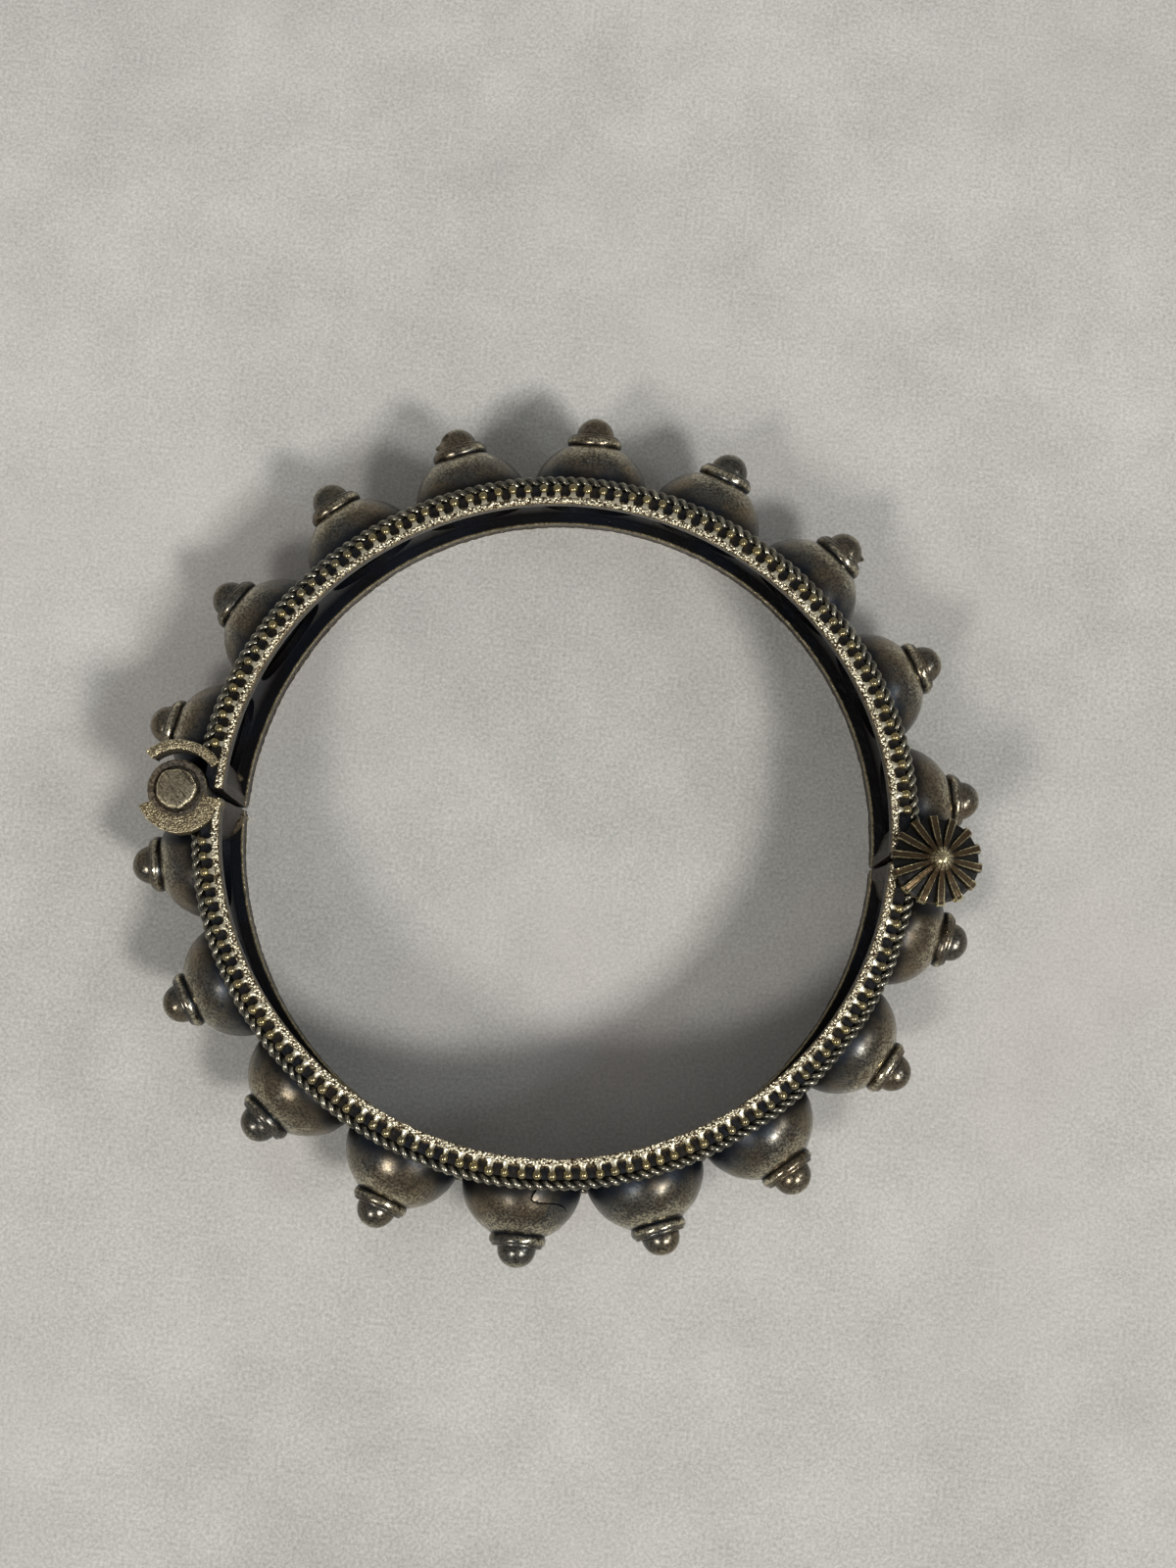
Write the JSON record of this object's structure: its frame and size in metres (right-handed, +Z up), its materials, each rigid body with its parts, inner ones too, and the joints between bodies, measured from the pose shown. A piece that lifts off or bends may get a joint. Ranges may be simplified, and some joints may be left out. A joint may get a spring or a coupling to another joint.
{
  "type": "hinged spiked bangle",
  "caption": "Hinged bangle in two channel-section halves with hollow domed spikes, toothed rims and rope wires, a riveted pin hinge and a screw clasp.",
  "frame": {"origin": "middle of the wrist opening, on the surface that the bangle lies on", "axes": "+X from the hinge to the clasp, +Y towards the middle of the upper half, +Z up along the wrist opening and the hinge pin, towards the screw's head"},
  "size_m": [0.0758, 0.0776, 0.0181],
  "materials": {
    "oxidised_silver": "old silver, blackened in its hollows, grey-brown on its domes, pale and worn on rims, beads and tips",
    "worn_silver": "hammered and scratched old silver, worn pale",
    "brown_silver": "old silver with brown tarnish on its ribs and black in the grooves"
  },
  "bodies": {
    "upper": {"upper_half": "oxidised_silver", "hinge_pin": "worn_silver"},
    "lower": {"lower_half": "oxidised_silver"},
    "screw": {"clasp_screw": "brown_silver"}
  },
  "joints": [
    {"name": "half_hinge", "type": "hinge", "parent": "upper", "child": "lower", "pos_m": [-0.0333, 0, 0.00719], "axis": [0, 0, -1], "range_deg": [0, 70]},
    {"name": "screw_lift", "type": "slide", "parent": "upper", "child": "screw", "axis": [0, 0, 1], "range_m": [0, 0.014]}
  ]
}
